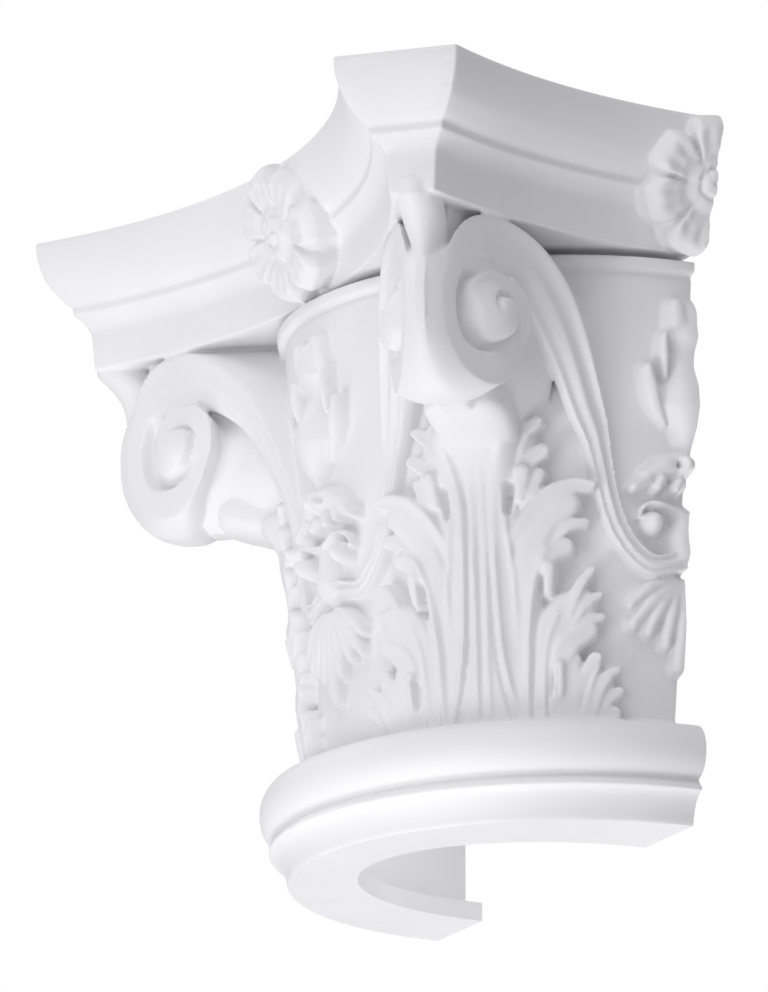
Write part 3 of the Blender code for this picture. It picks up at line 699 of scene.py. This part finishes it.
# Both edges of a band: on the bell as (angle, height, radius), and on the scroll's face as
# (right, up, out). The first edge is the one on the leaf's side.
BAND_ON_BELL = (
    ((-2.0, 0.930, 0.965), (-2.0, 1.005, 0.965)),
    ((3.0, 0.910, 0.965), (3.0, 0.985, 0.965)),
    ((6.8, 0.888, 0.965), (6.6, 0.962, 0.965)),
    ((9.5, 0.897, 0.965), (8.9, 0.975, 0.962)),
    ((12.2, 0.922, 0.966), (11.3, 1.015, 0.960)),
    ((15.1, 0.970, 0.970), (13.6, 1.070, 0.960)),
    ((17.8, 1.035, 0.975), (15.3, 1.160, 0.960)),
    ((19.6, 1.120, 0.980), (16.2, 1.230, 0.965)),
    ((21.0, 1.230, 0.988), (17.2, 1.320, 0.975)),
    ((23.0, 1.355, 1.005), (18.0, 1.440, 0.990)),
)
BAND_ON_FACE = (
    ((0.420, -0.300, 0.090), (0.522, -0.280, 0.177)),
    ((0.375, -0.205, 0.080), (0.470, -0.160, 0.176)),
    ((0.320, -0.105, 0.062), (0.415, -0.040, 0.174)),
    ((0.262, -0.035, 0.052), (0.350, 0.070, 0.168)),
    ((0.200, 0.012, 0.050), (0.272, 0.158, 0.158)),
    ((0.135, 0.058, 0.050), (0.175, 0.232, 0.142)),
    ((0.065, 0.088, 0.050), (0.065, 0.288, 0.110)),
    ((-0.010, 0.096, 0.050), (-0.050, 0.310, 0.068)),
    ((-0.080, 0.090, 0.048), (-0.160, 0.295, 0.042)),
    ((-0.150, 0.095, 0.036), (-0.240, 0.220, 0.020)),
    ((-0.195, 0.085, 0.018), (-0.275, 0.140, 0.002)),
    ((-0.214, 0.040, -0.005), (-0.290, 0.060, -0.020)),
    ((-0.225, 0.000, -0.040), (-0.295, 0.000, -0.050)),
)
BAND_EASING = 110  # times that the band's edges are evened out
BAND_BACK = 0.86  # radius inside the bell's surface that the band runs back to
# Section of the band from the leaf's side to the other: (share of the width, height)
BAND_SECTION = (
    (0.0, -0.030), (0.008, -0.016), (0.03, -0.002), (0.065, 0.010), (0.10, 0.015), (0.14, 0.015),
    (0.20, 0.010), (0.27, 0.009), (0.34, 0.014), (0.42, 0.021), (0.49, 0.024), (0.54, 0.022),
    (0.60, 0.013), (0.68, 0.006), (0.76, 0.005), (0.83, 0.010), (0.88, 0.017), (0.93, 0.022),
    (0.965, 0.019), (0.99, 0.010), (1.0, -0.006),
)


class CAPITAL_OT_bands(bpy.types.Operator):
    """Lead the grooved bands from the middle of each side up to the scrolls"""

    bl_idname = "capital.bands"
    bl_label = "Scroll bands"

    def execute(self, context):
        band = self.band()
        other = mirrored(band, "band_front", diagonal_mirror())
        for obj in (band, other):
            mirrored(obj, obj.name + "_left", side_mirror())
        return {"FINISHED"}

    @staticmethod
    def band():
        """The band on the right-hand side, from under the side's middle to the scroll."""
        edges = []
        for pair in BAND_ON_BELL:
            row = []
            for angle, height, radius in pair:
                around = math.radians(angle)
                row += [radius * math.cos(around), -radius * math.sin(around) * ROUND_DEPTH, height]
            edges.append(row + [1.0])
        fading = (1, 1, 0.95, 0.85, 0.7, 0.5, 0.32, 0.2, 0.12, 0.06, 0, 0, 0)
        for pair, strength in zip(BAND_ON_FACE, fading):
            edges.append([c for place in pair for c in on_face(*place)] + [strength])
        line = smooth_line(edges, 14)
        for _ in range(BAND_EASING):
            line[1:-1] = (line[:-2] + 2 * line[1:-1] + line[2:]) / 4
        centres = (line[:, :3] + line[:, 3:6]) / 2
        ahead = np.gradient(centres, axis=0)
        sections = []
        for row, forward in zip(line, ahead):
            first, second = Vector(row[:3]), Vector(row[3:6])
            out = (second - first).cross(Vector(forward)).normalized()
            middle = (first + second) / 2
            if out.dot(Vector((middle.x, middle.y, 0))) < 0:
                out = -out
            ring = [first.lerp(second, share) + out * height * row[6] for share, height in BAND_SECTION]
            for edge in (second, first):  # back to the bell
                level = Vector((edge.x, edge.y, 0))
                ring.append(edge - level * (1 - BAND_BACK / level.length))
            sections.append([at(*place) for place in ring])
        return loft("band", sections)


# ---------------------------------------------------------------- flowers


FLOWER_HEIGHT = 2.265
FLOWER_LEAN = math.radians(18)
FLOWER_RADIUS = 0.252
FLOWER_SINK = 0.04  # its middle lies this far behind the edge of the abacus
FLOWER_BACK = 0.14  # and its body runs back this far into the abacus
PETALS = 7
FIRST_PETAL = math.radians(97)  # direction of the middle of one petal


def across_petal(turn):
    """Place across a petal, from -0.5 to 0.5."""
    return ((turn - FIRST_PETAL) * PETALS / (2 * math.pi) + 0.5) % 1.0 - 0.5


def flower_height(share, turn):
    """Height of a flower's face, by share of its radius and direction in radians."""
    petal = across_petal(turn)
    dome = 0.042 + 0.014 * share**2 - 0.050 * share**9
    lip = 0.010 * bump(abs(share - 0.84), 0.18)
    gap = 0.034 * bump(0.5 - abs(petal), 0.10) * step_up(share, 0.36, 0.6)
    ribs = 0.004 * math.cos(petal * 6 * math.pi) * step_up(share, 0.45, 0.7)
    ribs *= 1 - step_up(share, 0.80, 0.95)
    cup = 0.010 * bump(abs(share - 0.44), 0.14)
    heart = 0.026 * bump(share, 0.38)
    spiral = (share * 4.6 + turn / (2 * math.pi)) % 1.0
    groove = 0.020 * bump(abs(spiral - 0.5), 0.24) * (1 - step_up(share, 0.30, 0.36))
    return float(dome + lip - gap + ribs - cup + heart - groove)


class CAPITAL_OT_flowers(bpy.types.Operator):
    """Set a flower on the middle of each side of the abacus"""

    bl_idname = "capital.flowers"
    bl_label = "Flowers"

    def execute(self, context):
        for around in (0, 90, 180):
            self.flower(around)
        return {"FINISHED"}

    @staticmethod
    def flower(around, turns=240, rings=48):
        reach = SIDE_DISTANCE - (ABACUS_BACK if around == 90 else 0)
        level = Vector((math.cos(math.radians(around)), -math.sin(math.radians(around)), 0))
        side = Vector((0, 0, 1)).cross(level)
        out = Matrix.Rotation(FLOWER_LEAN, 3, side) @ level
        up = out.cross(side)
        centre = level * (reach - FLOWER_SINK) + Vector((0, 0, FLOWER_HEIGHT))
        sections = []
        for share in [None] + list(np.linspace(1, 0.01, rings)):  # None is the back of the body
            ring = []
            for turn in np.linspace(0, 2 * math.pi, turns, endpoint=False):
                full = FLOWER_RADIUS * (1 - 0.13 * float(bump(0.5 - abs(across_petal(turn)), 0.26)))
                distance = full * (share or 0.98)
                lift = flower_height(share, turn) if share else -FLOWER_BACK
                spot = centre + side * distance * math.cos(turn) + up * distance * math.sin(turn)
                ring.append(at(*(spot + out * lift)))
            sections.append(ring)
        return loft("flower", sections)


# ---------------------------------------------------------------- casting


def block(name, low, high):
    """A block between two corners given in modules."""
    deselect()
    low, high = at(*low), at(*high)
    bpy.ops.mesh.primitive_cube_add(size=1, location=(low + high) / 2, scale=high - low)
    obj = bpy.context.object
    obj.name = name
    bpy.ops.object.transform_apply(location=True, rotation=True, scale=True)
    return obj


def oval(name, rings, turns=96):
    """An upright body through ovals given as (half width, half depth, height) in modules: a
    disc, extruded upwards and scaled from each oval to the next."""
    deselect()
    width, depth, height = rings[0]
    bpy.ops.mesh.primitive_circle_add(vertices=turns, radius=width * MODULE, fill_type="NGON",
                                      location=at(0, 0, height))
    obj = bpy.context.object
    obj.name = name
    bpy.ops.object.transform_apply(location=True, rotation=True, scale=True)
    bpy.ops.object.mode_set(mode="EDIT")
    bpy.ops.mesh.select_all(action="SELECT")
    bpy.ops.transform.resize(value=(1, depth / width, 1), center_override=at(0, 0, height))
    for below, above in zip(rings, rings[1:]):
        rise = (above[2] - below[2]) * MODULE
        bpy.ops.mesh.extrude_region_move(TRANSFORM_OT_translate={"value": (0, 0, rise)})
        bpy.ops.transform.resize(value=(above[0] / below[0], above[1] / below[1], 1),
                                 center_override=at(0, 0, above[2]))
    bpy.ops.mesh.select_all(action="SELECT")
    bpy.ops.mesh.normals_make_consistent(inside=False)
    bpy.ops.object.mode_set(mode="OBJECT")
    return obj


def triangles(obj):
    obj.data.calc_loop_triangles()
    return len(obj.data.loop_triangles)


def apply(obj, kind, **settings):
    """Add a modifier of a kind with its settings, and apply it."""
    activate(obj)
    modifier = obj.modifiers.new(kind.lower(), kind)
    for name, value in settings.items():
        setattr(modifier, name, value)
    bpy.ops.object.modifier_apply(modifier=modifier.name)


CUT_AWAY = 1.16  # triangles before the cut, for each one that is left after it

# Names of the bodies that the casting joins, up to the first dot
PARTS = {"ring", "bell", "abacus", "drop", "neck", "leaf_tip", "flower"}
COPIES = ("", "_front", "_left", "_front_left")
PARTS |= {part + copy for part in ("scroll", "web", "band") for copy in COPIES}


class CAPITAL_OT_cast(bpy.types.Operator):
    """Cast all the parts as one piece, cut it flat at the back and hollow it"""

    bl_idname = "capital.cast"
    bl_label = "Casting"

    def execute(self, context):
        settings = context.scene.capital
        body = bpy.data.objects.get("bell")
        if body is None:
            raise RuntimeError("there is no bell to cast: build the parts first")
        parts = [obj for obj in context.scene.objects if obj.name.split(".")[0] in PARTS]
        deselect()
        for obj in parts:
            obj.select_set(True)
        context.view_layer.objects.active = body
        bpy.ops.object.join()
        body.name = "capital"
        body.data.name = "capital"
        apply(body, "REMESH", mode="VOXEL", voxel_size=settings.grain)
        apply(body, "SMOOTH", factor=0.5, iterations=1)
        apply(body, "DECIMATE", ratio=settings.most_triangles * CUT_AWAY / triangles(body))
        self.cut(body)
        self.finish_mesh(body)
        if not FEWEST < triangles(body) < MOST:
            raise RuntimeError(f"the casting has {triangles(body)} triangles")
        body.data.materials.clear()
        body.data.materials.append(primer_material(settings))
        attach(body, "root")
        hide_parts(NODE)
        return {"FINISHED"}

    @staticmethod
    def cut(body):
        """Cut the back flat, hollow the inside and open the foot."""
        width, depth = FOOT_OPENING
        back = block("back_cutter", (-3, 0, -1), (3, 3, 4))
        hollow = oval("hollow_cutter", [(radius, radius, height) for radius, height in HOLLOW])
        opening = oval("opening_cutter", [(width, depth, -0.1), (width, depth, LIP_TOP + 0.02)])
        top = block("top_cutter", (-3, -3, HEIGHT), (3, 3, 4))
        foot = block("foot_cutter", (-3, -3, -1), (3, 3, 0))
        for tool in (back, hollow, opening, top, foot):
            before = triangles(body)
            apply(body, "BOOLEAN", operation="DIFFERENCE", solver="MANIFOLD", object=tool)
            if triangles(body) == before:
                raise RuntimeError(f"{tool.name} cut nothing")
            bpy.data.objects.remove(tool)

    @staticmethod
    def finish_mesh(body):
        """Delete the specks of air shut in between the parts, and leave plain triangles."""
        activate(body)
        bpy.ops.object.mode_set(mode="EDIT")
        bpy.ops.mesh.select_all(action="DESELECT")
        bpy.ops.object.mode_set(mode="OBJECT")
        max(body.data.vertices, key=lambda vertex: vertex.co.z).select = True
        bpy.ops.object.mode_set(mode="EDIT")
        bpy.ops.mesh.select_linked()
        bpy.ops.mesh.select_all(action="INVERT")
        bpy.ops.mesh.delete(type="VERT")
        bpy.ops.mesh.select_all(action="SELECT")
        bpy.ops.mesh.quads_convert_to_tris()
        bpy.ops.object.mode_set(mode="OBJECT")
        bpy.ops.object.shade_smooth_by_angle(angle=math.radians(40))


def primer_material(settings):
    """Satin white primer with a faint orange-peel surface."""
    material = bpy.data.materials.new("white_primer")
    material.use_nodes = True
    nodes, links = material.node_tree.nodes, material.node_tree.links
    shader = nodes["Principled BSDF"]
    place = nodes.new("ShaderNodeTexCoord")
    mottle = nodes.new("ShaderNodeTexNoise")
    mottle.inputs["Scale"].default_value = 22.0
    mottle.inputs["Detail"].default_value = 4.0
    links.new(place.outputs["Object"], mottle.inputs["Vector"])
    shades = nodes.new("ShaderNodeValToRGB")
    colour = tuple(settings.primer)
    shades.color_ramp.elements[0].position = 0.35
    shades.color_ramp.elements[0].color = tuple(0.975 * c for c in colour) + (1,)
    shades.color_ramp.elements[1].position = 0.65
    shades.color_ramp.elements[1].color = colour + (1,)
    links.new(mottle.outputs["Fac"], shades.inputs["Fac"])
    links.new(shades.outputs["Color"], shader.inputs["Base Color"])
    gloss = nodes.new("ShaderNodeMapRange")
    gloss.inputs["To Min"].default_value = settings.roughness - 0.06
    gloss.inputs["To Max"].default_value = settings.roughness + 0.06
    links.new(mottle.outputs["Fac"], gloss.inputs["Value"])
    links.new(gloss.outputs["Result"], shader.inputs["Roughness"])
    peel = nodes.new("ShaderNodeTexNoise")
    peel.inputs["Scale"].default_value = 900.0
    links.new(place.outputs["Object"], peel.inputs["Vector"])
    relief_node = nodes.new("ShaderNodeBump")
    relief_node.inputs["Strength"].default_value = 0.08
    relief_node.inputs["Distance"].default_value = 0.0002
    links.new(peel.outputs["Fac"], relief_node.inputs["Height"])
    links.new(relief_node.outputs["Normal"], shader.inputs["Normal"])
    return material


# ---------------------------------------------------------------- stage

CAMERA_PLACE = (32.306, -16.361, -8.375)  # from the axis at the foot, in modules
CAMERA_AIM = (-0.8686, 0.4210, 0.2613)
CAMERA_LENS = 380.6  # millimetres, for a 36 mm frame

FLOOR_LEVEL = -1.1  # metres
LIT_PLACE = Vector((0, 0, 0.14))  # the lamps face this place, in metres
# Soft lamps: direction from the front and rise in degrees, distance and size in metres, power
LAMPS = (
    (8, -40, 1.7, 0.9, 11.0),
    (0, -80, 1.0, 0.53, 3.0),
    (45, 50, 3.0, 1.6, 24.0),
    (-60, 40, 3.0, 1.6, 14.0),
    (35, -8, 3.0, 1.6, 9.0),
    (180, -24, 0.27, 0.2, 0.25),
)


class CAPITAL_OT_stage(bpy.types.Operator):
    """Set up the floor, the soft studio light and the camera"""

    bl_idname = "capital.stage"
    bl_label = "Stage"

    def execute(self, context):
        self.camera(context)
        self.floor()
        self.lights(context)
        if context.scene.camera is None:
            raise RuntimeError("the stage has no camera")
        return {"FINISHED"}

    @staticmethod
    def camera(context):
        bpy.ops.object.camera_add()
        camera = context.object
        forward = Vector(CAMERA_AIM).normalized()
        right = forward.cross(Vector((0, 0, 1))).normalized()
        up = right.cross(forward)
        turn = Matrix((right, up, -forward)).transposed().to_4x4()
        camera.matrix_world = Matrix.Translation(at(*CAMERA_PLACE)) @ turn
        camera.data.sensor_width = 36
        camera.data.lens = CAMERA_LENS
        camera.data.clip_end = 100
        context.scene.camera = camera
        context.scene.view_settings.view_transform = "Standard"

    @staticmethod
    def floor():
        bpy.ops.mesh.primitive_plane_add(size=40, location=(0, 0, FLOOR_LEVEL))
        floor = bpy.context.object
        floor.name = "floor"
        material = bpy.data.materials.new("pale_floor")
        material.use_nodes = True
        shader = material.node_tree.nodes["Principled BSDF"]
        shader.inputs["Base Color"].default_value = (0.85, 0.85, 0.85, 1)
        shader.inputs["Roughness"].default_value = 0.9
        floor.data.materials.append(material)

    @staticmethod
    def lights(context):
        world = bpy.data.worlds.new("studio")
        context.scene.world = world
        world.use_nodes = True
        nodes, links = world.node_tree.nodes, world.node_tree.links
        ambient = nodes["Background"]
        ambient.inputs["Color"].default_value = (0.97, 0.97, 1.0, 1)
        ambient.inputs["Strength"].default_value = 0.435
        white = nodes.new("ShaderNodeBackground")
        white.inputs["Color"].default_value = (1, 1, 1, 1)
        seen = nodes.new("ShaderNodeLightPath")
        mix = nodes.new("ShaderNodeMixShader")
        links.new(seen.outputs["Is Camera Ray"], mix.inputs["Fac"])
        links.new(ambient.outputs["Background"], mix.inputs[1])
        links.new(white.outputs["Background"], mix.inputs[2])
        links.new(mix.outputs["Shader"], nodes["World Output"].inputs["Surface"])
        for azimuth, rise, distance, size, power in LAMPS:
            level = math.cos(math.radians(rise))
            away = Vector((math.sin(math.radians(azimuth)) * level,
                           -math.cos(math.radians(azimuth)) * level, math.sin(math.radians(rise))))
            bpy.ops.object.light_add(type="AREA", location=LIT_PLACE + away * distance)
            lamp = context.object
            lamp.visible_camera = False
            lamp.data.size = size
            lamp.data.energy = power
            lamp.rotation_euler = away.to_track_quat("Z", "Y").to_euler()


class CAPITAL_PT_panel(bpy.types.Panel):
    """Lists the steps of the capital"""

    bl_label = "Capital"
    bl_space_type = "VIEW_3D"
    bl_region_type = "UI"
    bl_category = "Capital"

    def draw(self, context):
        layout = self.layout
        for name in ("grain", "most_triangles", "primer", "roughness"):
            layout.prop(context.scene.capital, name)
        for operator in STEPS:
            layout.operator(operator.bl_idname)


STEPS = (CAPITAL_OT_bell, CAPITAL_OT_abacus, CAPITAL_OT_scrolls, CAPITAL_OT_bands,
         CAPITAL_OT_flowers, CAPITAL_OT_cast, CAPITAL_OT_stage)
CLASSES = (CapitalSettings,) + STEPS + (CAPITAL_PT_panel,)


def register():
    for cls in CLASSES:
        bpy.utils.register_class(cls)
    bpy.types.Scene.capital = bpy.props.PointerProperty(type=CapitalSettings)


def unregister():
    del bpy.types.Scene.capital
    for cls in reversed(CLASSES):
        bpy.utils.unregister_class(cls)


def main():
    register()
    for name in list(bpy.data.objects.keys()):
        if bpy.data.objects[name].type in {"CAMERA", "LIGHT"} or name == "Cube":
            bpy.data.objects.remove(bpy.data.objects[name])
    bpy.ops.capital.bell()
    bpy.ops.capital.abacus()
    bpy.ops.capital.scrolls()
    bpy.ops.capital.bands()
    bpy.ops.capital.flowers()
    bpy.ops.capital.cast()
    bpy.ops.capital.stage()


if __name__ == "__main__":
    main()
